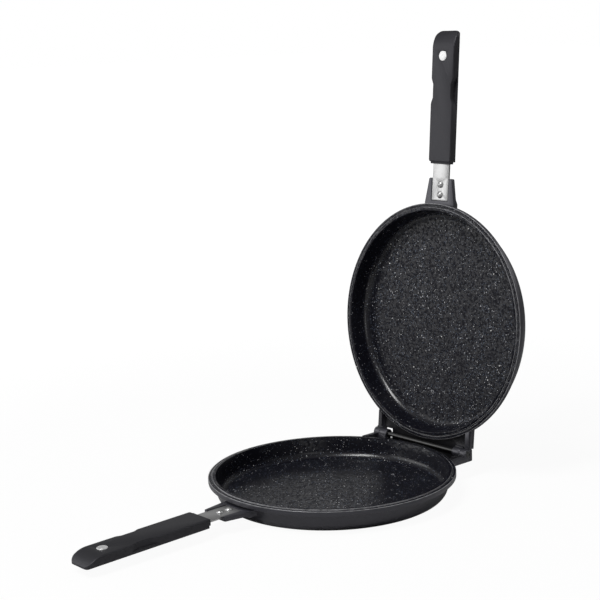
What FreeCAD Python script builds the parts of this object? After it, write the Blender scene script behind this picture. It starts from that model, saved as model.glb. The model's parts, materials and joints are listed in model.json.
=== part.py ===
import FreeCAD, Part
import os
import re
import Sketcher

# Double sided flip pan, open and standing on its lower half.
# The lower pan is centred on the Z axis with its base on Z = 0. Its handle points along -Y, the hinge axis
# lies behind it along X, and the closed pans meet in the plane Z = pan_depth. The upper half has the same
# pieces, given half a turn about a line through the hinge axis that halves the opening.

SIZES = {
    # Pan: a round shallow cup with a rim band that stands out from its leaning wall
    "pan_depth": 25.0,
    "rim_radius": 125.0,
    "rim_height": 5.7,
    "rim_slope": 1.2,
    "rim_overhang": 6.0,
    "rim_width": 7.4,
    "wall_lean": 4.1,
    "inner_lean": 4.0,
    "base_corner": 9.9,
    "floor_thickness": 3.2,
    "floor_corner": 8.0,
    # Rim top: an inner lip, a groove and a lower outer band
    "rim_relief": 0.1,
    "groove_width": 1.0,
    "groove_depth": 1.2,
    "band_width": 3.4,
    "band_drop": 0.9,
    "rim_bevel": 0.5,
    # Hinge: a plate with a flange wall at each side, one outer and one inner ear on each pan
    "open_angle": 96.0,
    "hinge_offset": 5.0,
    "hinge_span": 134.0,
    "hinge_drop": 8.0,
    "plate_thickness": 3.0,
    "flange_width": 5.0,
    "flange_gap": 0.3,
    "edge_band_width": 1.0,
    "edge_band_height": 6.0,
    "ear_radius": 5.0,
    "ear_side_gap": 0.3,
    "outer_ear_width": 8.0,
    "inner_ear_width": 10.3,
    "ear_root": 0.8,
    "stop_reach": 6.2,
    "stop_gap": 0.2,
    "neck_foot": 0.5,
    "neck_angle": 30.0,
    "ear_round": 1.0,
    # Hinge rod: peened over at both ends
    "rod_diameter": 5.0,
    "bore_gap": 0.08,
    "rod_head_diameter": 6.6,
    "rod_head_height": 0.9,
    "rod_end_gap": 0.1,
    # Handle bracket: cast on the pan's wall, with a slot for the strap
    "bracket_drop": 7.3,
    "bracket_root_width": 41.0,
    "bracket_end_width": 31.5,
    "bracket_reach": 26.3,
    "bracket_thickness": 4.5,
    "gusset_reach": 5.0,
    "gusset_depth": 1.8,
    "bracket_corner": 1.5,
    # Handle strap: a flat strip, bent a little outside the bracket, narrowed to a tang in the grip.
    # A tilt above zero lifts the grip towards the plane in which the closed pans meet.
    "strap_width": 22.5,
    "strap_thickness": 2.0,
    "strap_sink": 0.4,
    "strap_start": 3.2,
    "strap_bend": 28.0,
    "lower_strap_tilt": -1.0,
    "upper_strap_tilt": 1.6,
    "slot_side_gap": 0.7,
    "slot_end_gap": 0.5,
    "strap_inside": 8.5,
    "tang_width": 16.0,
    "tang_clear": 11.65,
    # Strap rivets: domed head above, flat tail below
    "rivet_start": 9.0,
    "rivet_pitch": 10.8,
    "rivet_shank": 5.0,
    "rivet_hole_gap": 0.1,
    "rivet_head_diameter": 7.6,
    "rivet_head_height": 2.3,
    "rivet_tail_diameter": 7.2,
    "rivet_tail_height": 1.2,
    # Grip: a moulded bar with a waist near the middle and a rolled outer end
    "grip_start": 15.4,
    "grip_length": 135.5,
    "grip_width": 31.0,
    "grip_thickness": 10.1,
    "face_height": 3.5,
    "end_corner": 7.0,
    "end_roll_length": 18.5,
    "end_roll_depth": 8.3,
    "inner_corner": 2.5,
    "back_round": 3.2,
    "face_round": 1.5,
    "collar_width": 26.5,
    "collar_thickness": 6.0,
    "collar_length": 2.0,
    "strap_fit": 0.15,
    "waist_start": 58.5,
    "waist_length": 30.0,
    "waist_depth": 3.2,
    "waist_slope": 8.0,
    "waist_height": 6.5,
    # Magnet: a disc set in the grip's face, opposite the other handle's magnet when the pan is closed
    "magnet_from_end": 26.0,
    "magnet_diameter": 10.5,
    "magnet_thickness": 4.5,
    "magnet_proud": 0.5,
    "magnet_bevel": 0.4,
    "magnet_fit": 0.1,
    # Grip screw: driven from the back of the grip through the tang
    "screw_place": 35.0,
    "screw_head_diameter": 7.0,
    "screw_head_height": 2.2,
    "screw_recess": 0.3,
    "screw_shank": 4.0,
    "screw_fit": 0.2,
    "screw_cover": 1.4,
    "drive_width": 1.2,
    "drive_length": 4.2,
    "drive_depth": 1.0,
    # Cuts run this far past the faces that they open
    "overrun": 2.0,
}

# Places that several pieces share, as formulas in the sizes
AXIS_Y = "(rim_radius + hinge_offset)"
PLATE_END = "(rim_radius + hinge_offset - ear_radius - stop_gap)"
PLATE_ROOT = "sqrt(pow(rim_radius - rim_width; 2) - pow(hinge_span / 2; 2))"
PLATE_UNDER = "(pan_depth - hinge_drop)"
BRACKET_UNDER = "(pan_depth - bracket_drop - bracket_thickness)"
STRAP_TOP = "(pan_depth - bracket_drop - strap_sink)"
STRAP_UNDER = "(pan_depth - bracket_drop - strap_sink - strap_thickness)"
BEND_Y = "(rim_radius + strap_bend)"
RIVET_PLACES = {"inner": "(rim_radius + rivet_start)", "outer": "(rim_radius + rivet_start + rivet_pitch)"}
COLLAR_END = "(grip_start - collar_length)"
GRIP_BACK = "(face_height - grip_thickness)"
MAGNET_Y = "(grip_start + grip_length - magnet_from_end)"
TANG_INSIDE = "(grip_length - magnet_from_end - magnet_diameter / 2 - magnet_fit - tang_clear)"
SCREW_Y = "(grip_start + screw_place)"
SCREW_SEAT = "(face_height - grip_thickness + screw_recess + screw_head_height)"
SCREW_TIP = "(face_height - screw_cover - screw_fit)"

doc = FreeCAD.newDocument("flip_pan")
sheet = doc.addObject("Spreadsheet::Sheet", "Sizes")
for row, (name, number) in enumerate(SIZES.items(), start=1):
    sheet.set(f"A{row}", name)
    sheet.set(f"B{row}", str(number))
    sheet.setAlias(f"B{row}", name)
doc.recompute()


def formula(text):
    """The same formula with every size read from the sheet."""
    return re.sub(r"[a-z_]+", lambda word: f"Sizes.{word[0]}" if word[0] in SIZES else word[0], text)


def amount(text):
    """The number that a formula gives now."""
    return float(sheet.evalExpression(formula(text)))


def new_sketch(body, name, plane, offset=None):
    """A sketch on one of the body's own planes, moved along the plane's normal by the offset."""
    sketch = body.newObject("Sketcher::SketchObject", f"{body.Name}_{name}")
    support = next(item for item in body.Origin.OriginFeatures if item.Role == plane)
    sketch.AttachmentSupport = [(support, "")]
    sketch.MapMode = "FlatFace"
    if offset:
        sketch.setExpression("AttachmentOffset.Base.z", formula(offset))
    return sketch


def tie(sketch, text, kind, *where):
    """One dimension of a sketch, bound to a formula."""
    index = sketch.addConstraint(Sketcher.Constraint(kind, *where, amount(text)))
    sketch.setExpression(f"Constraints[{index}]", formula(text))


def arc_between(start, end, radius):
    """The arc from start to end that bulges to the right of that way."""
    chord = end - start
    left = FreeCAD.Vector(-chord.y, chord.x, 0).normalize()
    rise = max(radius * radius - chord.Length * chord.Length / 4, 0) ** 0.5
    centre = (start + end) / 2 + left * rise
    middle = centre - left * radius
    return Part.Arc(start, middle, end)


def outline(sketch, corners):
    """A closed outline, drawn anticlockwise where it has arcs.

    A corner is (across, up), or (across, up, radius) where an arc leaves it instead of a line, with
    "inward" as a fourth item where that arc is hollow.
    """
    first = sketch.GeometryCount
    points = [FreeCAD.Vector(amount(corner[0]), amount(corner[1]), 0) for corner in corners]
    begins = [2 if "inward" in corner else 1 for corner in corners]
    for corner, here, there in zip(corners, points, points[1:] + points[:1]):
        if len(corner) == 2:
            sketch.addGeometry(Part.LineSegment(here, there), False)
        elif "inward" in corner:
            sketch.addGeometry(arc_between(there, here, amount(corner[2])), False)
        else:
            sketch.addGeometry(arc_between(here, there, amount(corner[2])), False)
    for index, corner in enumerate(corners):
        after = (index + 1) % len(corners)
        meeting = (first + index, 3 - begins[index], first + after, begins[after])
        sketch.addConstraint(Sketcher.Constraint("Coincident", *meeting))
        tie(sketch, corner[0], "DistanceX", -1, 1, first + index, begins[index])
        tie(sketch, corner[1], "DistanceY", -1, 1, first + index, begins[index])
        if len(corner) > 2:
            tie(sketch, corner[2], "Radius", first + index)


def box_outline(sketch, left, right, low, high):
    """A rectangle between four formulas."""
    outline(sketch, [(left, low), (right, low), (right, high), (left, high)])


def circle(sketch, across, up, diameter):
    """A circle about a point, each given by a formula."""
    centre = FreeCAD.Vector(amount(across), amount(up), 0)
    upright = FreeCAD.Vector(0, 0, 1)
    index = sketch.addGeometry(Part.Circle(centre, upright, amount(diameter) / 2), False)
    tie(sketch, across, "DistanceX", -1, 1, index, 3)
    tie(sketch, up, "DistanceY", -1, 1, index, 3)
    tie(sketch, diameter, "Diameter", index)


def settle(body, feature, before, grows):
    """Recompute, and stop if a feature that should add or cut did nothing."""
    doc.recompute()
    change = body.Shape.Volume - before
    if (change <= 0) if grows else (change >= 0):
        raise RuntimeError(f"{feature.Name} changes nothing")
    return feature


def volume_of(body):
    """The body's volume so far, zero before its first feature."""
    return 0 if body.Shape.isNull() else body.Shape.Volume


def extrude(body, sketch, length, cuts=False, both_ways=False, along=False):
    """A pad or a pocket. A pocket goes against the sketch's normal unless along is set."""
    before = volume_of(body)
    kind = "Pocket" if cuts else "Pad"
    feature = body.newObject(f"PartDesign::{kind}", f"{sketch.Name}_{kind.lower()}")
    feature.Profile = sketch
    feature.setExpression("Length", formula(length))
    if both_ways:
        feature.SideType = "Symmetric"
    feature.Reversed = along
    return settle(body, feature, before, not cuts)


def turn(body, sketch, axis, cuts=False):
    """A full turn of a sketch about one of its own axes, added or cut."""
    before = volume_of(body)
    kind = "Groove" if cuts else "Revolution"
    feature = body.newObject(f"PartDesign::{kind}", f"{sketch.Name}_{kind.lower()}")
    feature.Profile = sketch
    feature.ReferenceAxis = (sketch, [axis])
    feature.Angle = 360
    return settle(body, feature, before, not cuts)


def soften(body, name, radius, chosen, kind="Fillet"):
    """Rounds, or bevels, the edges of the body that the test chooses."""
    base = body.Tip
    edges = [f"Edge{index}" for index, edge in enumerate(base.Shape.Edges, start=1) if chosen(edge)]
    if not edges:
        raise RuntimeError(f"{body.Name} has no edge for {name}")
    feature = body.newObject(f"PartDesign::{kind}", f"{body.Name}_{name}")
    feature.Base = (base, edges)
    feature.setExpression("Radius" if kind == "Fillet" else "Size", formula(radius))
    doc.recompute()
    return feature


def near(first, second):
    """True where two lengths are the same, to a share of the pan's depth."""
    equal_share = 0.0001
    return abs(first - second) < amount("pan_depth") * equal_share


def level(edge, axis, place):
    """True where the whole edge lies in the plane at that place along X, Y or Z."""
    low, high = getattr(edge.BoundBox, f"{axis}Min"), getattr(edge.BoundBox, f"{axis}Max")
    return near(low, amount(place)) and near(high, amount(place))


HALF_TURN = (f"placement(vector(0; {AXIS_Y}; pan_depth);"
             " rotation(vector(0; cos(open_angle / 2); -sin(open_angle / 2)); 180))"
             f" * placement(vector(0; -{AXIS_Y}; -pan_depth); rotation(vector(0; 0; 1); 0))")


def moved(along_x, along_y, along_z):
    """The placement that only moves a piece, each way given by a formula."""
    return f"placement(vector({along_x}; {along_y}; {along_z}); rotation(vector(0; 0; 1); 0))"


def on_strap(half):
    """The placement of a half's grip pieces: on the strap's bend, turned along its outer part."""
    turned = f"rotation(vector(1; 0; 0); -{half}_strap_tilt)"
    return f"placement(vector(0; -{BEND_Y}; {STRAP_TOP}); {turned})"


def place(body, half, seat=None):
    """Puts a piece in its half of the pan, from its own seat there if it has one."""
    steps = ([HALF_TURN] if half == "upper" else []) + ([seat] if seat else [])
    if steps:
        body.setExpression("Placement", formula(" * ".join(steps)))
    doc.recompute()


def new_body(half, piece):
    """An empty piece of one half, labelled with its own name."""
    return doc.addObject("PartDesign::Body", f"{half}_{piece}")


def add_hinge(body):
    """The plate behind the pan with its flange walls, edge bands and two ears.

    Between the ears the plate has a tail, cut to the plane that halves the opening. There the tails of the
    open halves nearly meet, under and behind the rod.
    """
    half_span = "(hinge_span / 2)"
    band_face = "(hinge_span / 2 - edge_band_width)"
    flange_inside = "(hinge_span / 2 - edge_band_width - flange_width)"
    plate = new_sketch(body, "plate", "XY_Plane", PLATE_UNDER)
    box_outline(plate, f"-{half_span}", half_span, PLATE_ROOT, PLATE_END)
    extrude(body, plate, "plate_thickness")
    for side, sign in (("left", "-"), ("right", "")):
        flange = new_sketch(body, f"flange_{side}", "XY_Plane", PLATE_UNDER)
        box_outline(flange, f"{sign}{flange_inside}", f"{sign}{band_face}", PLATE_ROOT, PLATE_END)
        extrude(body, flange, "hinge_drop - flange_gap")
        band = new_sketch(body, f"edge_band_{side}", "XY_Plane", PLATE_UNDER)
        box_outline(band, f"{sign}{band_face}", f"{sign}{half_span}", PLATE_ROOT, PLATE_END)
        extrude(body, band, "edge_band_height")
    ear_back = f"({PLATE_END} - ear_root)"
    outer_start = "hinge_span / 2 - outer_ear_width"
    stop_lean = "(open_angle - 90)"
    stop = new_sketch(body, "outer_ear_stop", "YZ_Plane", outer_start)
    outline(stop, [
        (ear_back, PLATE_UNDER),
        (f"{AXIS_Y} + stop_reach", PLATE_UNDER),
        (f"{AXIS_Y} + stop_reach",
         f"pan_depth + ear_radius / cos{stop_lean} - stop_reach * tan{stop_lean}"),
        (f"{AXIS_Y} + ear_radius * sin{stop_lean}", f"pan_depth + ear_radius * cos{stop_lean}"),
        (AXIS_Y, "pan_depth - flange_gap"),
        (ear_back, "pan_depth - flange_gap"),
    ])
    extrude(body, stop, "outer_ear_width")
    soften(body, "stop_corner", "ear_round", lambda edge: (
        level(edge, "Y", f"{AXIS_Y} + stop_reach") and not near(edge.BoundBox.XLength, 0)))
    outer = new_sketch(body, "outer_ear_barrel", "YZ_Plane", outer_start)
    circle(outer, AXIS_Y, "pan_depth", "2 * ear_radius")
    extrude(body, outer, "outer_ear_width")
    inner_start = "outer_ear_width - hinge_span / 2 + ear_side_gap"
    seam_shift = "cos(open_angle / 2) / sin(open_angle / 2)"
    seam_gap = "stop_gap / 2 / sin(open_angle / 2)"
    tail_start = f"{inner_start} + inner_ear_width - ear_root"
    tail = new_sketch(body, "plate_tail", "YZ_Plane", tail_start)
    outline(tail, [
        (ear_back, PLATE_UNDER),
        (f"{AXIS_Y} + hinge_drop * {seam_shift} - {seam_gap}", PLATE_UNDER),
        (f"{AXIS_Y} + (hinge_drop - plate_thickness) * {seam_shift} - {seam_gap}",
         f"{PLATE_UNDER} + plate_thickness"),
        (ear_back, f"{PLATE_UNDER} + plate_thickness"),
    ])
    extrude(body, tail, f"-({tail_start}) - ({inner_start} + inner_ear_width) - ear_side_gap")
    neck = new_sketch(body, "inner_ear_neck", "YZ_Plane", inner_start)
    outline(neck, [
        (ear_back, PLATE_UNDER),
        (f"{AXIS_Y} - neck_foot", PLATE_UNDER),
        (f"{AXIS_Y} + ear_radius * cos(neck_angle)", "pan_depth - ear_radius * sin(neck_angle)"),
        (AXIS_Y, "pan_depth - flange_gap"),
        (ear_back, "pan_depth - flange_gap"),
    ])
    extrude(body, neck, "inner_ear_width")
    inner = new_sketch(body, "inner_ear_barrel", "YZ_Plane", inner_start)
    circle(inner, AXIS_Y, "pan_depth", "2 * ear_radius")
    extrude(body, inner, "inner_ear_width")
    bore = new_sketch(body, "rod_bore", "YZ_Plane")
    circle(bore, AXIS_Y, "pan_depth", "rod_diameter + 2 * bore_gap")
    extrude(body, bore, "hinge_span + overrun", cuts=True, both_ways=True)


def add_bracket(body):
    """The handle bracket in front of the pan, with the strap's slot and the rivet holes."""
    root = "-(rim_radius - 2 * rim_width)"
    end = "-(rim_radius + bracket_reach)"
    gusset_under = f"({BRACKET_UNDER} - gusset_depth)"
    block = new_sketch(body, "bracket", "XY_Plane", gusset_under)
    outline(block, [
        ("-bracket_root_width / 2", root),
        ("-bracket_root_width / 2", "-rim_radius"),
        ("-bracket_end_width / 2", end),
        ("bracket_end_width / 2", end),
        ("bracket_root_width / 2", "-rim_radius"),
        ("bracket_root_width / 2", root),
    ])
    extrude(body, block, "bracket_thickness + gusset_depth")
    soften(body, "bracket_corners", "bracket_corner", lambda edge: (
        near(edge.BoundBox.YMin, amount(end)) and near(edge.BoundBox.YMax, amount(end))
        and near(edge.BoundBox.XLength, 0)))
    under = new_sketch(body, "bracket_underside", "YZ_Plane")
    outline(under, [
        (f"{end} - overrun", f"{gusset_under} - overrun"),
        ("-rim_radius", f"{gusset_under} - overrun"),
        ("-rim_radius", gusset_under),
        ("-(rim_radius + gusset_reach)", BRACKET_UNDER),
        (f"{end} - overrun", BRACKET_UNDER),
    ])
    extrude(body, under, "bracket_root_width + overrun", cuts=True, both_ways=True)
    slot = new_sketch(body, "strap_slot", "XY_Plane", STRAP_UNDER)
    slot_half = "(strap_width / 2 + slot_side_gap)"
    box_outline(slot, f"-{slot_half}", slot_half, f"{end} - overrun",
                "-(rim_radius + strap_start - slot_end_gap)")
    extrude(body, slot, "strap_thickness + strap_sink + overrun", cuts=True, along=True)
    for place_name, place_y in RIVET_PLACES.items():
        hole = new_sketch(body, f"rivet_hole_{place_name}", "XY_Plane", STRAP_UNDER)
        circle(hole, "0", f"-{place_y}", "rivet_shank + 2 * rivet_hole_gap")
        extrude(body, hole, "bracket_thickness + overrun", cuts=True)


def build_pan(half):
    """One pan casting: cup, hinge half and handle bracket in one piece."""
    body = new_body(half, "pan")
    cup = new_sketch(body, "cup", "YZ_Plane")
    wall_top = "(rim_radius - rim_overhang)"
    outline(cup, [
        ("0", "0"),
        (f"{wall_top} - wall_lean", "0"),
        (wall_top, "pan_depth - rim_height - rim_slope"),
        ("rim_radius", "pan_depth - rim_height"),
        ("rim_radius", "pan_depth"),
        ("0", "pan_depth"),
    ])
    turn(body, cup, "V_Axis")
    soften(body, "base_corner", "base_corner", lambda edge: level(edge, "Z", "0"))
    add_hinge(body)
    add_bracket(body)
    inner_top = "(rim_radius - rim_width)"
    groove_start = "(rim_radius - band_width - groove_width)"
    band_start = "(rim_radius - band_width)"
    lip = "(pan_depth - rim_relief)"
    band = "(pan_depth - rim_relief - band_drop)"
    cavity = new_sketch(body, "cavity", "YZ_Plane")
    outline(cavity, [
        ("0", "floor_thickness"),
        (f"{inner_top} - inner_lean", "floor_thickness"),
        (inner_top, lip),
        (groove_start, lip),
        (groove_start, f"{lip} - groove_depth"),
        (band_start, f"{lip} - groove_depth"),
        (band_start, band),
        ("rim_radius - rim_bevel", band),
        ("rim_radius", f"{band} - rim_bevel"),
        ("rim_radius", "pan_depth + overrun"),
        ("0", "pan_depth + overrun"),
    ])
    turn(body, cavity, "V_Axis", cuts=True)
    soften(body, "floor_corner", "floor_corner", lambda edge: level(edge, "Z", "floor_thickness"))
    place(body, half)
    return body


def build_strap(half):
    """The handle strap: flat in the bracket, bent outside it, narrow inside the grip."""
    body = new_body(half, "handle_strap")
    tilt = f"{half}_strap_tilt"
    inside = f"(grip_start + {TANG_INSIDE})"
    tip_y = f"-({BEND_Y} + {inside} * cos({tilt}))"
    tip_z = f"({STRAP_TOP} + {inside} * sin({tilt}))"
    strip = new_sketch(body, "strip", "YZ_Plane")
    outline(strip, [
        ("-(rim_radius + strap_start)", STRAP_UNDER),
        ("-(rim_radius + strap_start)", STRAP_TOP),
        (f"-{BEND_Y}", STRAP_TOP),
        (tip_y, tip_z),
        (f"{tip_y} - strap_thickness * sin({tilt})", f"{tip_z} - strap_thickness * cos({tilt})"),
        (f"-{BEND_Y} - strap_thickness * tan({tilt} / 2)", STRAP_UNDER),
    ])
    extrude(body, strip, "strap_width", both_ways=True)
    tang_start = f"-({BEND_Y} + (grip_start + strap_inside) * cos({tilt}))"
    for side, sign in (("left", "-"), ("right", "")):
        notch = new_sketch(body, f"tang_side_{side}", "XY_Plane", STRAP_TOP)
        box_outline(notch, f"{sign}(tang_width / 2)", f"{sign}(strap_width / 2 + overrun)",
                    f"{tip_y} - overrun", tang_start)
        extrude(body, notch, "2 * grip_thickness", cuts=True, both_ways=True)
    for place_name, place_y in RIVET_PLACES.items():
        hole = new_sketch(body, f"rivet_hole_{place_name}", "XY_Plane", STRAP_TOP)
        circle(hole, "0", f"-{place_y}", "rivet_shank + 2 * rivet_hole_gap")
        extrude(body, hole, "strap_thickness + overrun", cuts=True)
    screw_hole = new_sketch(body, "screw_hole", "XY_Plane", STRAP_TOP)
    circle(screw_hole, "0", f"-({BEND_Y} + {SCREW_Y} * cos({tilt}))", "screw_shank + 2 * screw_fit")
    extrude(body, screw_hole, "2 * grip_thickness", cuts=True, both_ways=True)
    place(body, half)
    return body


def build_rivet(half, place_name):
    """A strap rivet: domed head on the strap, shank through the bracket, flat tail under it."""
    body = new_body(half, f"rivet_{place_name}")
    dome = ("((pow(rivet_head_diameter / 2; 2) + pow(rivet_head_height; 2))"
            " / (2 * rivet_head_height))")
    tail = f"({BRACKET_UNDER} - rivet_tail_height)"
    profile = new_sketch(body, "profile", "YZ_Plane")
    outline(profile, [
        ("0", tail),
        ("rivet_tail_diameter / 2", tail),
        ("rivet_tail_diameter / 2", BRACKET_UNDER),
        ("rivet_shank / 2", BRACKET_UNDER),
        ("rivet_shank / 2", STRAP_TOP),
        ("rivet_head_diameter / 2", STRAP_TOP, dome),
        ("0", f"{STRAP_TOP} + rivet_head_height"),
    ])
    turn(body, profile, "V_Axis")
    place(body, half, moved("0", f"-{RIVET_PLACES[place_name]}", "0"))
    return body


def build_grip(half):
    """The moulded grip, in the handle's own frame: strap top at Z = 0, outer end along -Y."""
    body = new_body(half, "handle_grip")
    inner = "-grip_start"
    outer = "-(grip_start + grip_length)"
    half_width = "(grip_width / 2)"
    bar = new_sketch(body, "bar", "XY_Plane", GRIP_BACK)
    box_outline(bar, f"-{half_width}", half_width, f"{outer} - overrun", f"{inner} + overrun")
    extrude(body, bar, "grip_thickness")
    soften(body, "back_edges", "back_round", lambda edge: (
        level(edge, "Z", GRIP_BACK) and near(edge.BoundBox.XLength, 0)))
    for name, end_y, radius, right, left, out, back in (
            ("outer", outer, "end_corner", "", "-", "-", "+"),
            ("inner", inner, "inner_corner", "-", "", "+", "-")):
        corner_y = f"{end_y} {back} {radius}"
        end = new_sketch(body, f"{name}_end", "XY_Plane", f"{GRIP_BACK} - overrun")
        outline(end, [
            (f"{left}({half_width} + overrun)", f"{end_y} {out} 2 * overrun"),
            (f"{right}({half_width} + overrun)", f"{end_y} {out} 2 * overrun"),
            (f"{right}({half_width} + overrun)", corner_y),
            (f"{right}{half_width}", corner_y, radius, "inward"),
            (f"{right}({half_width} - {radius})", end_y),
            (f"{left}({half_width} - {radius})", end_y, radius, "inward"),
            (f"{left}{half_width}", corner_y),
            (f"{left}({half_width} + overrun)", corner_y),
        ])
        extrude(body, end, "grip_thickness + 2 * overrun", cuts=True, along=True)
    roll = new_sketch(body, "end_roll", "YZ_Plane")
    roll_start = f"({outer} + end_roll_length)"
    roll_radius = "((pow(end_roll_length; 2) + pow(end_roll_depth; 2)) / (2 * end_roll_depth))"
    outline(roll, [
        (f"{outer} - overrun", "face_height - end_roll_depth"),
        (outer, "face_height - end_roll_depth", roll_radius, "inward"),
        (roll_start, "face_height"),
        (roll_start, "face_height + overrun"),
        (f"{outer} - overrun", "face_height + overrun"),
    ])
    extrude(body, roll, "grip_width + overrun", cuts=True, both_ways=True)
    soften(body, "face_edges", "face_round", lambda edge: (
        level(edge, "Z", "face_height") and near(edge.BoundBox.XLength, 0)))
    collar = new_sketch(body, "collar", "XZ_Plane", COLLAR_END)
    collar_middle = "(-strap_thickness / 2)"
    box_outline(collar, "-collar_width / 2", "collar_width / 2",
                f"{collar_middle} - collar_thickness / 2", f"{collar_middle} + collar_thickness / 2")
    extrude(body, collar, "collar_length + overrun")
    for name, sign in (("left", "-"), ("right", "")):
        waist = new_sketch(body, f"waist_{name}", "XY_Plane", "face_height - waist_height")
        outline(waist, [
            (f"{sign}({half_width} + overrun)", "-(grip_start + waist_start)"),
            (f"{sign}({half_width})", "-(grip_start + waist_start)"),
            (f"{sign}({half_width} - waist_depth)", "-(grip_start + waist_start + waist_slope)"),
            (f"{sign}({half_width} - waist_depth)",
             "-(grip_start + waist_start + waist_length - waist_slope)"),
            (f"{sign}({half_width})", "-(grip_start + waist_start + waist_length)"),
            (f"{sign}({half_width} + overrun)", "-(grip_start + waist_start + waist_length)"),
        ])
        extrude(body, waist, "waist_height + overrun", cuts=True, along=True)
    for name, width, reach in (("strap", "strap_width", "strap_inside"),
                               ("tang", "tang_width", TANG_INSIDE)):
        slot = new_sketch(body, f"{name}_slot", "XZ_Plane", f"{COLLAR_END} - overrun")
        box_outline(slot, f"-({width} / 2 + strap_fit)", f"{width} / 2 + strap_fit",
                    "-(strap_thickness + strap_fit)", "strap_fit")
        extrude(body, slot, f"overrun + collar_length + {reach} + strap_fit", cuts=True, along=True)
    pocket = new_sketch(body, "magnet_pocket", "XY_Plane", "face_height + magnet_proud - magnet_thickness")
    circle(pocket, "0", f"-{MAGNET_Y}", "magnet_diameter + 2 * magnet_fit")
    extrude(body, pocket, "magnet_thickness + overrun", cuts=True, along=True)
    counterbore = new_sketch(body, "screw_head_pocket", "XY_Plane", SCREW_SEAT)
    circle(counterbore, "0", f"-{SCREW_Y}", "screw_head_diameter + 2 * screw_fit")
    extrude(body, counterbore, "screw_recess + screw_head_height + overrun", cuts=True)
    pilot = new_sketch(body, "screw_hole", "XY_Plane", f"{SCREW_SEAT} - overrun / 2")
    circle(pilot, "0", f"-{SCREW_Y}", "screw_shank + 2 * screw_fit")
    extrude(body, pilot, f"face_height - screw_cover - {SCREW_SEAT} + overrun / 2", cuts=True, along=True)
    place(body, half, on_strap(half))
    return body


def build_magnet(half):
    """The handle magnet: a bevelled disc, a little proud of the grip's face."""
    body = new_body(half, "handle_magnet")
    disc = new_sketch(body, "disc", "XY_Plane", "face_height + magnet_proud - magnet_thickness")
    circle(disc, "0", f"-{MAGNET_Y}", "magnet_diameter")
    extrude(body, disc, "magnet_thickness")
    soften(body, "rim", "magnet_bevel", lambda edge: (
        level(edge, "Z", "face_height + magnet_proud")), kind="Chamfer")
    place(body, half, on_strap(half))
    return body


def build_grip_screw(half):
    """The grip screw: sunk head with a cross recess, shank through the tang."""
    body = new_body(half, "grip_screw")
    head = new_sketch(body, "head", "XY_Plane", f"{GRIP_BACK} + screw_recess")
    circle(head, "0", f"-{SCREW_Y}", "screw_head_diameter")
    extrude(body, head, "screw_head_height")
    shank = new_sketch(body, "shank", "XY_Plane", SCREW_SEAT)
    circle(shank, "0", f"-{SCREW_Y}", "screw_shank")
    extrude(body, shank, f"{SCREW_TIP} - {SCREW_SEAT}")
    for name, long_x, long_y in (("across", "drive_length", "drive_width"),
                                 ("along", "drive_width", "drive_length")):
        cross = new_sketch(body, f"drive_{name}", "XY_Plane", f"{GRIP_BACK} + screw_recess")
        box_outline(cross, f"-{long_x} / 2", f"{long_x} / 2",
                    f"-{SCREW_Y} - {long_y} / 2", f"-{SCREW_Y} + {long_y} / 2")
        extrude(body, cross, "drive_depth", cuts=True, along=True)
    place(body, half, on_strap(half))
    return body


def build_rod():
    """The hinge rod on the hinge axis, with a peened dome outside each outer ear."""
    body = doc.addObject("PartDesign::Body", "hinge_rod")
    shoulder = "(hinge_span / 2 + rod_end_gap)"
    dome = "((pow(rod_head_diameter / 2; 2) + pow(rod_head_height; 2)) / (2 * rod_head_height))"
    profile = new_sketch(body, "profile", "XY_Plane")
    outline(profile, [
        (f"-({shoulder} + rod_head_height)", "0"),
        (f"{shoulder} + rod_head_height", "0", dome),
        (shoulder, "rod_head_diameter / 2"),
        (shoulder, "rod_diameter / 2"),
        (f"-{shoulder}", "rod_diameter / 2"),
        (f"-{shoulder}", "rod_head_diameter / 2", dome),
    ])
    turn(body, profile, "H_Axis")
    place(body, "lower", moved("0", AXIS_Y, "pan_depth"))
    return body


pieces = [build_rod()]
for half in ("lower", "upper"):
    pieces.append(build_pan(half))
    pieces.append(build_strap(half))
    pieces.extend(build_rivet(half, place_name) for place_name in RIVET_PLACES)
    pieces.append(build_grip(half))
    pieces.append(build_magnet(half))
    pieces.append(build_grip_screw(half))
doc.recompute()

failed = [item.Name for item in doc.Objects if {"Invalid", "Error"} & set(item.State)]
broken = [piece.Label for piece in pieces if piece.Shape.isNull() or not piece.Shape.isValid()
          or len(piece.Shape.Solids) != 1]
if failed or broken:
    raise RuntimeError(f"features that failed: {failed}, pieces that are not one sound solid: {broken}")

os.makedirs("parts", exist_ok=True)
for piece in pieces:
    piece.Shape.exportStep(f"parts/{piece.Label}.step")
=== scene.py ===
import json
import logging
import math
from abc import ABC, abstractmethod
from dataclasses import dataclass, field
from enum import Enum

import bpy
from mathutils import Matrix, Vector


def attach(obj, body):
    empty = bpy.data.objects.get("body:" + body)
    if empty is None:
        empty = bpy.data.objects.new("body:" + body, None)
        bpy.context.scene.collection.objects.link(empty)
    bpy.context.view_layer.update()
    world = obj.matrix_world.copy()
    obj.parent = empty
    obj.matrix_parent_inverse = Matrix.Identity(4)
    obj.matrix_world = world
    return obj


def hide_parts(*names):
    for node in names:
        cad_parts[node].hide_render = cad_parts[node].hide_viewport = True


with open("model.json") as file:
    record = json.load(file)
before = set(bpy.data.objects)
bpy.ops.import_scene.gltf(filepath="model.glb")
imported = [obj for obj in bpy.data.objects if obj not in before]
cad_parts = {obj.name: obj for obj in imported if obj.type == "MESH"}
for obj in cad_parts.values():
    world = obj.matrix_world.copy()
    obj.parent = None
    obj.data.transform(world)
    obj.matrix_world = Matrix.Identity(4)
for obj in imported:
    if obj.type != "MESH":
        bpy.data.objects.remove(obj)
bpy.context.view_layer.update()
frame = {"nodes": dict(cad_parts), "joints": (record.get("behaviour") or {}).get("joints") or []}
LOG = logging.getLogger("flip_pan")
MM = 0.001

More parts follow.
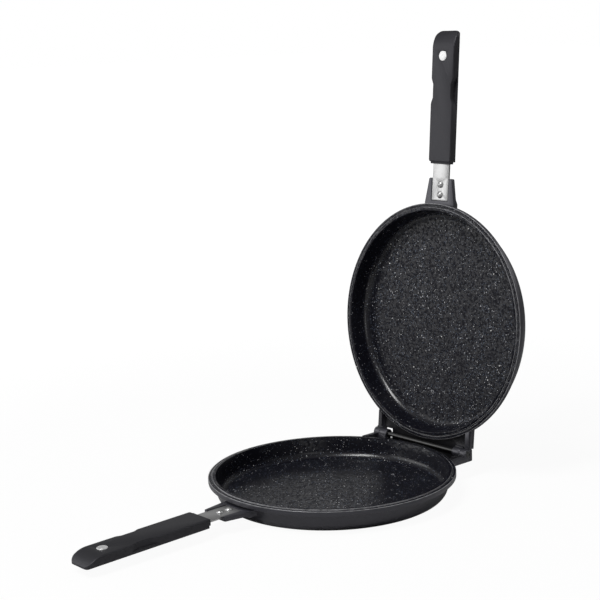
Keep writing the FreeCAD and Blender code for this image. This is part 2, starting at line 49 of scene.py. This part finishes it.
Colour = tuple[float, float, float]
Scale = tuple[float, float, float]
Range = tuple[float, float]

COOL_SHINE: Colour = (0.93, 0.92, 1.0)
FLAT: Scale = (1.0, 1.0, 0.0)


def grey(level: float, blue: float = 0.0) -> Colour:
    """A neutral colour, or one that leans to blue by a share of its level."""
    return (level, level, level * (1 + blue))


def outward(azimuth: float, elevation: float) -> Vector:
    """The way out from the object to a lamp or the camera.

    Args:
        azimuth: Degrees from the lower handle's side, -Y, towards +X.
        elevation: Degrees above the floor.

    Returns:
        A vector of length 1.
    """
    turn, lift = math.radians(azimuth), math.radians(elevation)
    return Vector((math.sin(turn) * math.cos(lift), -math.cos(turn) * math.cos(lift), math.sin(lift)))


class Half(Enum):
    """The two halves of the pan, named as their pieces are."""

    LOWER = "lower"
    UPPER = "upper"

    @property
    def body(self) -> str:
        """The body that the half's pieces ride on."""
        return f"{self.value}_half"

    def node(self, piece: str) -> str:
        """The name of one of the half's pieces."""
        return f"{self.value}_{piece}"

    def to_local(self) -> Matrix:
        """The way from the row frame into the half's own frame.

        Returns:
            For the lower half the same frame. The upper half is the lower one given half a turn about a
            line through the hinge axis, so the same half turn leads back.
        """
        if self is Half.LOWER:
            return Matrix.Identity(4)
        hinge = frame["joints"][0]
        centre = Vector(hinge["pos_m"])
        half_opening = math.radians(hinge["range_deg"][1]) / 2
        line = Vector((0, math.cos(half_opening), -math.sin(half_opening)))
        turn = Matrix.Rotation(math.pi, 4, line)
        return Matrix.Translation(centre) @ turn @ Matrix.Translation(-centre)


@dataclass(frozen=True)
class Grain:
    """An unevenness of a surface: the size of its patches and its height in metres, and its detail."""

    size: float
    height: float
    detail: float = 3.0


class NodeTree:
    """A material whose nodes are added one after another around its Principled surface."""

    def __init__(self, name: str) -> None:
        """Makes the material with its Principled surface and output.

        Args:
            name: The material's name.
        """
        self.material = bpy.data.materials.new(name)
        self.material.use_nodes = True
        self.nodes = self.material.node_tree.nodes
        self.links = self.material.node_tree.links
        self.surface = self.nodes["Principled BSDF"]

    def add(self, kind: str, settings: dict[str, object] | None = None,
            inputs: dict[str | int, object] | None = None) -> bpy.types.Node:
        """Adds a node.

        Args:
            kind: The node's type, without the leading ShaderNode.
            settings: Values for the node's own properties.
            inputs: Values or output sockets for its inputs, by name or number.

        Returns:
            The new node.
        """
        node = self.nodes.new(f"ShaderNode{kind}")
        for name, value in (settings or {}).items():
            setattr(node, name, value)
        for name, value in (inputs or {}).items():
            self.feed(node.inputs[name], value)
        return node

    def feed(self, socket: bpy.types.NodeSocket, value: object) -> None:
        """Links an output socket to an input, or sets the input's own value.

        Args:
            socket: The input.
            value: An output socket, a number, a vector or a colour.
        """
        if isinstance(value, bpy.types.NodeSocket):
            self.links.new(value, socket)
        elif isinstance(value, tuple) and len(value) == 3 and socket.type == "RGBA":
            socket.default_value = (*value, 1.0)
        else:
            socket.default_value = value

    def set_surface(self, **values: float | Colour) -> None:
        """Sets the surface's own sockets, named in small letters with underscores, to plain values.

        Args:
            values: The plain value of each socket.
        """
        sockets = {socket.name.lower().replace(" ", "_"): socket for socket in self.surface.inputs}
        for name, value in values.items():
            self.feed(sockets[name], value)

    def maths(self, operation: str, *values: object) -> bpy.types.NodeSocket:
        """The output of a Math node, its inputs given in order."""
        return self.add("Math", {"operation": operation}, dict(enumerate(values))).outputs[0]

    def blend(self, share: object, first: object, second: object) -> bpy.types.NodeSocket:
        """A colour between two colours.

        Args:
            share: How much of the second colour shows, from 0 to 1.
            first: The first colour.
            second: The second colour.

        Returns:
            The output socket of the mixed colour.
        """
        node = self.add("Mix", {"data_type": "RGBA"})
        self.feed(node.inputs["Factor"], share)
        self.feed(node.inputs["A"], first)
        self.feed(node.inputs["B"], second)
        return next(socket for socket in node.outputs if socket.type == "RGBA")

    def ramp(self, value: object, low: float, high: float, to_low: object = 0.0,
             to_high: object = 1.0) -> bpy.types.NodeSocket:
        """A value carried from one range to another, and held at its ends."""
        return self.add("MapRange", inputs={"Value": value, "From Min": low, "From Max": high,
                                            "To Min": to_low, "To Max": to_high}).outputs["Result"]

    def place(self, half: Half) -> bpy.types.NodeSocket:
        """The place on a piece in its half's own frame, in metres.

        Args:
            half: The half that the piece belongs to.

        Returns:
            The output socket of the mapping.
        """
        local = half.to_local()
        where = self.add("TexCoord").outputs["Object"]
        return self.add("Mapping", inputs={"Vector": where, "Location": local.to_translation(),
                                           "Rotation": local.to_euler("XYZ")}).outputs[0]

    def noise(self, place: object, size: float, detail: float = 3.0) -> bpy.types.NodeSocket:
        """Soft noise whose patches are about the given size in metres."""
        return self.add("TexNoise", inputs={"Vector": place, "Scale": 1 / size, "Detail": detail}).outputs[0]

    def bumps(self, *layers: tuple[object, float]) -> None:
        """Raises the surface by one or more height patterns.

        Args:
            layers: Pairs of a height between 0 and 1 and the real height in metres of 1.
        """
        normal = self.surface.inputs["Normal"]
        for height, metres in reversed(layers):
            node = self.add("Bump", inputs={"Height": height, "Distance": metres})
            self.feed(normal, node.outputs[0])
            normal = node.inputs["Normal"]

    def roughen(self, place: object, grains: tuple[Grain, ...]) -> None:
        """Raises the surface by one or more grains."""
        self.bumps(*((self.noise(place, grain.size, grain.detail), grain.height) for grain in grains))


@dataclass(frozen=True)
class Finish(ABC):
    """What every finish has: its name, colour and roughness, and a pattern of its own over them."""

    name: str
    colour: Colour
    roughness: float

    @abstractmethod
    def dress(self, tree: NodeTree, place: bpy.types.NodeSocket) -> None:
        """Adds the finish's own pattern and gloss.

        Args:
            tree: The material's nodes.
            place: The pattern's coordinates.
        """

    def material(self, half: Half) -> bpy.types.Material:
        """Makes the finish's material for one half.

        Args:
            half: The half that wears it.

        Returns:
            The material.
        """
        tree = NodeTree(f"{half.value}_{self.name}")
        tree.set_surface(base_color=self.colour, roughness=self.roughness)
        self.dress(tree, tree.place(half))
        return tree.material

    def mottle(self, tree: NodeTree, place: object, size: float, spread: float,
               over: tuple[bpy.types.NodeSocket, Colour] | None = None) -> None:
        """Varies the colour and the roughness a little in soft patches.

        Args:
            tree: The material's nodes.
            place: The pattern's coordinates.
            size: The size of a patch in metres.
            spread: The largest change, as a share.
            over: A mask and the colour that lies over the finish's own where the mask is 1.
        """
        patches = tree.noise(place, size)
        darker = tuple(level * (1 - spread) for level in self.colour)
        lighter = tuple(level * (1 + spread) for level in self.colour)
        base = tree.blend(patches, darker, lighter)
        if over is not None:
            base = tree.blend(over[0], base, over[1])
        tree.feed(tree.surface.inputs["Base Color"], base)
        self.vary_roughness(tree, patches, spread)

    def vary_roughness(self, tree: NodeTree, pattern: object, spread: float,
                       within: Range = (0.0, 1.0)) -> None:
        """Varies the roughness with a pattern.

        Args:
            tree: The material's nodes.
            pattern: The pattern's value.
            spread: The largest change, as a share.
            within: The values between which the pattern acts.
        """
        rough = tree.ramp(pattern, *within, self.roughness * (1 - spread), self.roughness * (1 + spread))
        tree.feed(tree.surface.inputs["Roughness"], rough)


@dataclass(frozen=True)
class Speck:
    """One kind of speck in the non-stick coat.

    The cell is the mean distance between places for a speck, in metres. The largest radius is a share of the
    cell. The chance is the share of places that hold a speck. The height is how far it stands up, in metres.
    """

    colour: Colour
    cell: float
    largest: float
    chance: float
    height: float = 0.0


@dataclass(frozen=True)
class SpeckledCoat(Finish):
    """The non-stick coat inside a pan: near black, with fine pale speckles and a clear gloss over them.

    The gloss is grainy, but full and even on the rounding between the floor and the wall. The specks are a
    little smaller up the wall, and each has a soft edge, given as a share of its kind's largest radius.
    Heights are measured from the pan's base. Where a pattern's noise runs between the two values of a noise
    range, its share or gloss runs between the two ends that belong to it.
    """

    specks: tuple[Speck, ...] = (
        Speck((0.12, 0.145, 0.195), 1.35 * MM, 0.4, 0.9),
        Speck((0.52, 0.52, 0.54), 2.3 * MM, 0.29, 0.75, 0.015 * MM),
        Speck((0.85, 0.85, 0.83), 7.5 * MM, 0.12, 0.85),
    )
    patch: float = 28 * MM
    patch_noise: Range = (0.3, 0.7)
    patch_share: Range = (0.75, 1.25)
    wall_heights: Range = (7 * MM, 14 * MM)
    wall_share: float = 0.8
    edge_share: float = 1 / 3
    rough_patch: float = 30 * MM
    rough_spread: float = 0.15
    grain: Grain = Grain(1.2 * MM, 0.03 * MM)
    shine: float = 0.07
    gloss: float = 0.3
    gloss_patch: float = 2.4 * MM
    gloss_detail: float = 2.0
    gloss_noise: Range = (0.4, 0.6)
    gloss_spread: float = 0.9
    round_start: Range = (3.6 * MM, 5 * MM)
    round_end: Range = (7.5 * MM, 10 * MM)
    round_gloss: float = 1.0
    coat_roughness: float = 0.24

    def mask(self, tree: NodeTree, place: object, thick: object, speck: Speck) -> bpy.types.NodeSocket:
        """Where specks of one kind are.

        Args:
            tree: The material's nodes.
            place: The pattern's coordinates.
            thick: How large the specks are here, as a share of their usual size.
            speck: The kind of speck.

        Returns:
            A mask, 1 in a speck.
        """
        cells = tree.add("TexVoronoi", inputs={"Vector": place, "Scale": 1 / speck.cell})
        lot = tree.add("SeparateColor", inputs={0: cells.outputs["Color"]}).outputs[0]
        radius = tree.maths("MULTIPLY", tree.ramp(lot, 1 - speck.chance, 1, 0, speck.largest), thick)
        inside = tree.maths("SUBTRACT", radius, cells.outputs["Distance"])
        return tree.ramp(inside, 0, speck.largest * self.edge_share)

    def speckle(self, tree: NodeTree, place: object, height: object) -> None:
        """Lays the specks into the coat, with its fine grain.

        Args:
            tree: The material's nodes.
            place: The pattern's coordinates.
            height: The height above the pan's base.
        """
        thick = tree.maths(
            "MULTIPLY",
            tree.ramp(tree.noise(place, self.patch), *self.patch_noise, *self.patch_share),
            tree.ramp(height, *self.wall_heights, 1.0, self.wall_share))
        colour: object = self.colour
        layers = [(tree.noise(place, self.grain.size), self.grain.height)]
        for speck in self.specks:
            mask = self.mask(tree, place, thick, speck)
            colour = tree.blend(mask, colour, speck.colour)
            if speck.height:
                layers.append((mask, speck.height))
        tree.feed(tree.surface.inputs["Base Color"], colour)
        tree.bumps(*layers)

    def lay_gloss(self, tree: NodeTree, place: object, height: object) -> None:
        """Lays the clear gloss over the coat.

        Args:
            tree: The material's nodes.
            place: The pattern's coordinates.
            height: The height above the pan's base.
        """
        grainy = tree.ramp(tree.noise(place, self.gloss_patch, self.gloss_detail), *self.gloss_noise,
                           self.gloss * (1 - self.gloss_spread), self.gloss * (1 + self.gloss_spread))
        rounding = tree.maths("MULTIPLY", tree.ramp(height, *self.round_start),
                              tree.ramp(height, *self.round_end, 1.0, 0.0))
        weight = tree.ramp(rounding, 0, 1, grainy, self.round_gloss)
        tree.feed(tree.surface.inputs["Coat Weight"], weight)
        tree.set_surface(coat_roughness=self.coat_roughness)

    def dress(self, tree: NodeTree, place: bpy.types.NodeSocket) -> None:
        """Adds the specks, the uneven roughness and the clear gloss.

        Args:
            tree: The material's nodes.
            place: The pattern's coordinates.
        """
        height = tree.add("SeparateXYZ", inputs={0: place}).outputs[2]
        self.speckle(tree, place, height)
        self.vary_roughness(tree, tree.noise(place, self.rough_patch), self.rough_spread)
        self.lay_gloss(tree, place, height)
        tree.set_surface(specular_ior_level=self.shine)


@dataclass(frozen=True)
class SatinCoat(Finish):
    """The baked coat outside a pan: dark, satin, with a fine grain, and painted highlights as pale rings
    along a rim's edges.
    """

    painted_highlight_rings: tuple[float, ...] = ()
    painted_highlight_colour: Colour = (0.34, 0.34, 0.355)
    painted_highlight_width: float = 0.5 * MM
    painted_highlight_patch: float = 6 * MM
    painted_highlight_noise: Range = (0.3, 0.6)
    painted_highlight_share: Range = (0.45, 1.0)
    patch: float = 14 * MM
    spread: float = 0.08
    grains: tuple[Grain, ...] = (Grain(0.7 * MM, 0.02 * MM), Grain(9 * MM, 0.03 * MM))
    shine: float = 0.5
    coat: float = 0.2
    coat_roughness: float = 0.35

    def painted_highlight_mask(self, tree: NodeTree, place: bpy.types.NodeSocket) -> bpy.types.NodeSocket:
        """Where the painted highlights lie: pale rings along the rim's edges that stand in for the light
        those edges catch.

        Args:
            tree: The material's nodes.
            place: The pattern's coordinates.

        Returns:
            A mask, up to 1 along the rings.
        """
        flat = tree.add("VectorMath", {"operation": "MULTIPLY"}, {0: place, 1: FLAT}).outputs[0]
        out = tree.add("VectorMath", {"operation": "LENGTH"}, {0: flat}).outputs["Value"]
        # Painted highlight: each ring paints the light caught by one edge of the rim.
        painted_highlight: object = 0.0
        for ring in self.painted_highlight_rings:
            off = tree.maths("ABSOLUTE", tree.maths("SUBTRACT", out, ring))
            painted_highlight = tree.maths("MAXIMUM", painted_highlight, tree.ramp(off, self.painted_highlight_width, self.painted_highlight_width / 2))
        uneven = tree.ramp(tree.noise(place, self.painted_highlight_patch), *self.painted_highlight_noise, *self.painted_highlight_share)
        return tree.maths("MULTIPLY", painted_highlight, uneven)

    def dress(self, tree: NodeTree, place: bpy.types.NodeSocket) -> None:
        """Adds the mottle, the painted highlight rings, the grain and a thin clear layer.

        Args:
            tree: The material's nodes.
            place: The pattern's coordinates.
        """
        # The pale rings laid over the mottle are painted highlights along the rim's edges.
        over = (self.painted_highlight_mask(tree, place), self.painted_highlight_colour) if self.painted_highlight_rings else None
        self.mottle(tree, place, self.patch, self.spread, over)
        tree.roughen(place, self.grains)
        tree.set_surface(specular_ior_level=self.shine, specular_tint=COOL_SHINE, coat_weight=self.coat,
                         coat_roughness=self.coat_roughness)


@dataclass(frozen=True)
class MouldedPlastic(Finish):
    """The grip's moulded plastic: matte, with a fine grain."""

    patch: float = 10 * MM
    spread: float = 0.06
    grains: tuple[Grain, ...] = (Grain(0.35 * MM, 0.025 * MM, 2.0), Grain(20 * MM, 0.05 * MM))
    shine: float = 0.6

    def dress(self, tree: NodeTree, place: bpy.types.NodeSocket) -> None:
        """Adds the mottle, the moulded grain and a cool shine.

        Args:
            tree: The material's nodes.
            place: The pattern's coordinates.
        """
        self.mottle(tree, place, self.patch, self.spread)
        tree.roughen(place, self.grains)
        tree.set_surface(specular_ior_level=self.shine, specular_tint=COOL_SHINE)


@dataclass(frozen=True)
class BrushedSteel(Finish):
    """Bare steel brushed along the handle, with fine lines over wider streaks."""

    stretch: Scale = (1.0, 0.02, 1.0)
    lines: Grain = Grain(0.25 * MM, 0.006 * MM, 4.0)
    line_share: float = 0.6
    streak_width: float = 1.6 * MM
    streak_detail: float = 2.0
    dull_share: float = 0.7
    rough_within: Range = (0.2, 0.8)
    rough_spread: float = 0.3

    def dress(self, tree: NodeTree, place: bpy.types.NodeSocket) -> None:
        """Adds the brushed lines and streaks.

        Args:
            tree: The material's nodes.
            place: The pattern's coordinates.
        """
        brushed = tree.add("Mapping", inputs={"Vector": place, "Scale": self.stretch}).outputs[0]
        lines = tree.noise(brushed, self.lines.size, self.lines.detail)
        wide = tree.noise(brushed, self.streak_width, self.streak_detail)
        streaks = tree.maths("ADD", tree.maths("MULTIPLY", lines, self.line_share),
                             tree.maths("MULTIPLY", wide, 1 - self.line_share))
        dull = tuple(level * self.dull_share for level in self.colour)
        tree.feed(tree.surface.inputs["Base Color"], tree.blend(streaks, dull, self.colour))
        self.vary_roughness(tree, streaks, self.rough_spread, self.rough_within)
        tree.bumps((lines, self.lines.height))
        tree.set_surface(metallic=1.0)


@dataclass(frozen=True)
class PolishedSteel(Finish):
    """Bright metal with faint wear, as on rivets, screws, magnets and the hinge rod."""

    metal: float = 1.0
    patch: float = 2.5 * MM
    spread: float = 0.12
    grains: tuple[Grain, ...] = (Grain(0.8 * MM, 0.004 * MM),)

    def dress(self, tree: NodeTree, place: bpy.types.NodeSocket) -> None:
        """Adds the mottle and the faint wear.

        Args:
            tree: The material's nodes.
            place: The pattern's coordinates.
        """
        self.mottle(tree, place, self.patch, self.spread)
        tree.roughen(place, self.grains)
        tree.set_surface(metallic=self.metal)


INSIDE_COAT = SpeckledCoat("inside_coat", grey(0.006, 0.7), 0.42)
OUTSIDE_COAT = SatinCoat("outside_coat", grey(0.02, 0.3), 0.4, shine=0.85)
# The rim coat's pale rings at these radii are painted highlights along the rim's edges.
RIM_COAT = SatinCoat("rim_coat", grey(0.007, 0.2), 0.36, painted_highlight_rings=(0.1206, 0.1217, 0.1245), shine=0.3)
GRIP_PLASTIC = MouldedPlastic("grip_plastic", grey(0.011, 0.2), 0.5)
STRAP_STEEL = BrushedSteel("strap_steel", grey(0.6), 0.34)
RIVET_STEEL = PolishedSteel("rivet_steel", grey(0.5), 0.42)
MAGNET_PLATE = PolishedSteel("magnet_plate", grey(0.82), 0.42, metal=0.55)
SCREW_STEEL = PolishedSteel("screw_steel", grey(0.5), 0.35)
ROD_STEEL = PolishedSteel("rod_steel", grey(0.085), 0.36)


class Bench:
    """The few working steps that every piece goes through, with gaps in metres and turns in degrees."""

    MERGE_GAP = 0.002 * MM
    FLAT_TURN = 0.05
    SHARP_TURN = 35.0
    SMOOTH_TURN = 30.0
    ROUND_SEGMENTS = 2

    @staticmethod
    def alone(piece: bpy.types.Object) -> None:
        """Leaves only one piece selected and active.

        Args:
            piece: The piece.
        """
        bpy.ops.object.select_all(action="DESELECT")
        piece.select_set(True)
        bpy.context.view_layer.objects.active = piece

    @staticmethod
    def merged_copy(node: str, name: str) -> bpy.types.Object:
        """Copies a CAD node and joins its loose triangles to one skin.

        Args:
            node: The CAD node.
            name: The copy's name.

        Returns:
            The copy, in place, without materials.
        """
        piece = bpy.data.objects.new(name, frame["nodes"][node].data.copy())
        bpy.context.scene.collection.objects.link(piece)
        piece.data.materials.clear()
        Bench.alone(piece)
        bpy.ops.mesh.customdata_custom_splitnormals_clear()
        bpy.ops.object.mode_set(mode="EDIT")
        bpy.ops.mesh.select_all(action="SELECT")
        bpy.ops.mesh.remove_doubles(threshold=Bench.MERGE_GAP)
        bpy.ops.mesh.dissolve_limited(angle_limit=math.radians(Bench.FLAT_TURN))
        bpy.ops.object.mode_set(mode="OBJECT")
        return piece

    @staticmethod
    def soften(piece: bpy.types.Object, width: float, turn: float = SHARP_TURN) -> None:
        """Rounds the piece's sharp edges and shades the rest smooth.

        Args:
            piece: The piece.
            width: The round's width in metres.
            turn: Edges that turn by more degrees than this are rounded.
        """
        Bench.alone(piece)
        bevel = piece.modifiers.new("softened", "BEVEL")
        bevel.width = width
        bevel.segments = Bench.ROUND_SEGMENTS
        bevel.limit_method = "ANGLE"
        bevel.angle_limit = math.radians(turn)
        bevel.use_clamp_overlap = True
        bpy.ops.object.modifier_apply(modifier=bevel.name)
        bpy.ops.object.shade_smooth_by_angle(angle=math.radians(Bench.SMOOTH_TURN))

    @staticmethod
    def put_in_place(piece: bpy.types.Object, half: Half, slot: str, *nodes: str) -> None:
        """Puts a finished piece in the place of its CAD nodes and lets it move with its half.

        Args:
            piece: The finished piece.
            half: The half that it moves with.
            slot: The record's material slot; not used.
            nodes: The CAD nodes that it replaces.
        """
        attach(piece, half.body)
        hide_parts(*nodes)
        LOG.info("%s: %d faces", piece.name, len(piece.data.polygons))

    @staticmethod
    def dressed_copy(node: str, half: Half, finish: Finish, slot: str, width: float,
                     turn: float = SHARP_TURN) -> bpy.types.Object:
        """Makes a piece from its CAD node with softened edges and one finish.

        Args:
            node: The CAD node.
            half: The half that it moves with.
            finish: The finish all over it.
            slot: The record's material slot.
            width: The width of its softened edges in metres.
            turn: The least turn in degrees of an edge that is softened.

        Returns:
            The finished piece.
        """
        piece = Bench.merged_copy(node, f"{node}_piece")
        Bench.soften(piece, width, turn)
        piece.data.materials.append(finish.material(half))
        Bench.put_in_place(piece, half, slot, node)
        return piece


class Surface(Enum):
    """The surfaces of a casting, numbered as its materials are."""

    OUTSIDE = 0
    INSIDE = 1
    RIM = 2

    @property
    def finish(self) -> Finish:
        """The finish that the surface has."""
        return (OUTSIDE_COAT, INSIDE_COAT, RIM_COAT)[self.value]


@dataclass
class PanCasting:
    """One pan with its bracket and hinge half, coated inside and outside.

    Each facing value is the least part of a face's direction that points up, or in for the wall, for the face
    to belong to the floor, the wall, the rim's top or the hinge plate's inner side.
    """

    half: Half
    depth: float = 25 * MM
    rim_radius: float = 125 * MM
    rim_width: float = 7.4 * MM
    rim_relief: float = 2.4 * MM
    edge_round: float = 0.35 * MM
    slack: float = 0.15 * MM
    floor_facing: float = 0.3
    wall_facing: float = 0.3
    rim_facing: float = -0.2
    shaded_plate_facing: float = 0.5

    def surface_at(self, centre: Vector, normal: Vector) -> Surface:
        """Tells which surface of the casting a face belongs to.

        Args:
            centre: The face's centre in the half's own frame.
            normal: Its direction there.

        Returns:
            The surface. The hinge plate's inner side takes the rim's darker coat: partly its own coat, partly
            painted shade for the shade that falls there.
        """
        out = math.hypot(centre.x, centre.y)
        above_rim = centre.z - self.depth
        inner = self.rim_radius - self.rim_width
        if out < inner + self.slack and centre.z > self.slack and above_rim < -self.slack / 2:
            across = Vector((centre.x, centre.y, 0)).normalized()
            if normal.z > self.floor_facing or normal.dot(across) < -self.wall_facing:
                return Surface.INSIDE
        if (out < self.rim_radius + self.slack and above_rim > -self.rim_relief
                and normal.z > self.rim_facing):
            return Surface.RIM
        # Painted shade: the hinge plate's inner side takes the darker rim coat, partly as its own coat,
        # partly for the shade that falls on it.
        if centre.y > inner and normal.z > self.shaded_plate_facing and above_rim < -self.slack:
            return Surface.RIM
        return Surface.OUTSIDE

    def build(self) -> bpy.types.Object:
        """Makes the casting from its CAD node and dresses its faces.

        Returns:
            The finished piece.
        """
        node = self.half.node("pan")
        piece = Bench.merged_copy(node, f"{node}_casting")
        Bench.soften(piece, self.edge_round)
        for surface in Surface:
            piece.data.materials.append(surface.finish.material(self.half))
        local = self.half.to_local()
        turn = local.to_3x3()
        for face in piece.data.polygons:
            face.material_index = self.surface_at(local @ face.center, turn @ face.normal).value
        Bench.put_in_place(piece, self.half, "pan", node)
        return piece


@dataclass
class Handle:
    """One handle: strap, rivets, grip, magnet and grip screw."""

    half: Half
    grip_round: float = 1.1 * MM
    grip_turn: float = 50.0
    small_round: float = 0.15 * MM

    def build(self) -> list[bpy.types.Object]:
        """Makes the handle's pieces from the pan outwards.

        Returns:
            The finished pieces.
        """
        small, grip = (self.small_round,), (self.grip_round, self.grip_turn)
        pieces: tuple[tuple[str, Finish, str, tuple[float, ...]], ...] = (
            ("handle_strap", STRAP_STEEL, "strap", small),
            ("rivet_inner", RIVET_STEEL, "rivet", small),
            ("rivet_outer", RIVET_STEEL, "rivet", small),
            ("handle_grip", GRIP_PLASTIC, "grip", grip),
            ("handle_magnet", MAGNET_PLATE, "magnet", small),
            ("grip_screw", SCREW_STEEL, "screw", small),
        )
        return [Bench.dressed_copy(self.half.node(name), self.half, finish, slot, *edges)
                for name, finish, slot, edges in pieces]


@dataclass
class HingeRod:
    """The rod that joins the two halves and stays with the lower one."""

    head_round: float = 0.15 * MM

    def build(self) -> bpy.types.Object:
        """Makes the rod from its CAD node."""
        return Bench.dressed_copy("hinge_rod", Half.LOWER, ROD_STEEL, "rod", self.head_round)


@dataclass(frozen=True)
class Lamp:
    """A soft oval area lamp: its angles in degrees, its distance and size in metres and its power in watts.

    Its height is its size times tall.
    """

    name: str
    azimuth: float
    elevation: float
    distance: float
    size: float
    power: float
    tall: float = 1.0

    def light(self, target: Vector) -> None:
        """Hangs the lamp.

        Args:
            target: The point that the lamp faces.
        """
        data = bpy.data.lights.new(self.name, "AREA")
        data.shape = "ELLIPSE"
        data.size = self.size
        data.size_y = self.size * self.tall
        data.energy = self.power
        lamp = bpy.data.objects.new(self.name, data)
        lamp.visible_camera = False
        bpy.context.scene.collection.objects.link(lamp)
        away = outward(self.azimuth, self.elevation)
        lamp.location = target + away * self.distance
        lamp.rotation_mode = "QUATERNION"
        lamp.rotation_quaternion = away.to_track_quat("Z", "Y")


@dataclass
class Studio:
    """The pale floor, the plain soft light and the camera.

    The camera's target, angles and distance are the ones fitted to the photo's marked points. Reflections see
    the room at the gloss strength and everything else but the camera sees it at the world strength. Seen by
    the camera, the floor mostly glows white, and wholly so past floor_far.
    """

    image_pixels: float = 600.0
    focal_pixels: float = 1448.67
    sensor: float = 36.0
    azimuth: float = 48.797
    elevation: float = 10.874
    roll: float = -2.016
    distance: float = 1.55289
    target: Vector = field(default_factory=lambda: Vector((-0.10817, 0.06, 0.17738)))
    lamp_target: Vector = field(default_factory=lambda: Vector((0, 0.06, 0.15)))
    world_strength: float = 0.08
    gloss_strength: float = 0.2
    floor_size: float = 30.0
    floor_drop: float = 0.05 * MM
    floor_colour: Colour = grey(0.62)
    floor_roughness: float = 0.9
    floor_glow: float = 1.05
    floor_clear: float = 0.45
    floor_far: float = 1.4
    clear_share: float = 0.9
    lamps: tuple[Lamp, ...] = (
        Lamp("front_panel", -46.0, 8.0, 2.4, 2.2, 20.5),
        Lamp("top_lamp", 0.0, 57.0, 2.2, 0.5, 29.0, 2.8),
        Lamp("right_fill", 66.0, 12.0, 2.6, 1.2, 3.6),
        Lamp("back_panel", 150.0, 35.0, 2.6, 1.6, 8.0),
        Lamp("far_panel", 229.0, 11.0, 2.6, 1.5, 1.4),
    )

    def light_room(self) -> None:
        """Lights the room evenly, and shows it white to the camera."""
        world = bpy.data.worlds.new("room")
        bpy.context.scene.world = world
        world.use_nodes = True
        nodes, links = world.node_tree.nodes, world.node_tree.links
        background = nodes["Background"]
        background.inputs["Color"].default_value = (1, 1, 1, 1)
        ray = nodes.new("ShaderNodeLightPath")
        level: bpy.types.NodeSocket | None = None
        for kind, strength in (("Is Glossy Ray", self.gloss_strength), ("Is Camera Ray", 1.0)):
            step = nodes.new("ShaderNodeMapRange")
            links.new(ray.outputs[kind], step.inputs["Value"])
            if level is None:
                step.inputs["To Min"].default_value = self.world_strength
            else:
                links.new(level, step.inputs["To Min"])
            step.inputs["To Max"].default_value = strength
            level = step.outputs["Result"]
        links.new(level, background.inputs["Strength"])

    def lay_floor(self) -> None:
        """Lays the pale floor under the pan."""
        bpy.ops.object.select_all(action="DESELECT")
        bpy.ops.mesh.primitive_plane_add(size=self.floor_size, location=(0, 0, -self.floor_drop))
        floor = bpy.context.active_object
        floor.name = "floor"
        tree = NodeTree("pale_floor")
        tree.set_surface(base_color=self.floor_colour, roughness=self.floor_roughness)
        ray = tree.add("LightPath").outputs["Is Camera Ray"]
        glow = tree.add("Emission", inputs={"Color": grey(1.0), "Strength": self.floor_glow}).outputs[0]
        where = tree.add("TexCoord").outputs["Object"]
        away = tree.add("VectorMath", {"operation": "LENGTH"}, {0: where}).outputs["Value"]
        clear = tree.ramp(away, self.floor_clear, self.floor_far, self.clear_share, 1.0)
        share = tree.maths("MULTIPLY", ray, clear)
        mixed = tree.add("MixShader", inputs={0: share, 1: tree.surface.outputs[0], 2: glow}).outputs[0]
        tree.feed(tree.nodes["Material Output"].inputs["Surface"], mixed)
        floor.data.materials.append(tree.material)

    def set_camera(self) -> None:
        """Puts the camera where the photo was taken from."""
        turn, lean = math.radians(self.azimuth), math.radians(self.roll)
        back = outward(self.azimuth, self.elevation)
        level = Vector((math.cos(turn), math.sin(turn), 0))
        upright = back.cross(level)
        right = level * math.cos(lean) + upright * math.sin(lean)
        up = upright * math.cos(lean) - level * math.sin(lean)
        data = bpy.data.cameras.new("camera")
        data.sensor_width = self.sensor
        data.lens = self.focal_pixels / self.image_pixels * self.sensor
        camera = bpy.data.objects.new("camera", data)
        bpy.context.scene.collection.objects.link(camera)
        facing = Matrix((right, up, back)).transposed().to_4x4()
        camera.matrix_world = Matrix.Translation(self.target + back * self.distance) @ facing
        bpy.context.scene.camera = camera

    def build(self) -> None:
        """Sets up the lamps, the room, the floor and the camera."""
        for lamp in self.lamps:
            lamp.light(self.lamp_target)
        self.light_room()
        self.lay_floor()
        self.set_camera()
        bpy.context.scene.view_settings.view_transform = "Standard"


def main() -> None:
    """Builds the object from the pans outwards, then the studio."""
    logging.basicConfig(level=logging.INFO, format="%(name)s %(message)s")
    for half in Half:
        PanCasting(half).build()
        Handle(half).build()
    HingeRod().build()
    Studio().build()


if __name__ == "__main__":
    main()
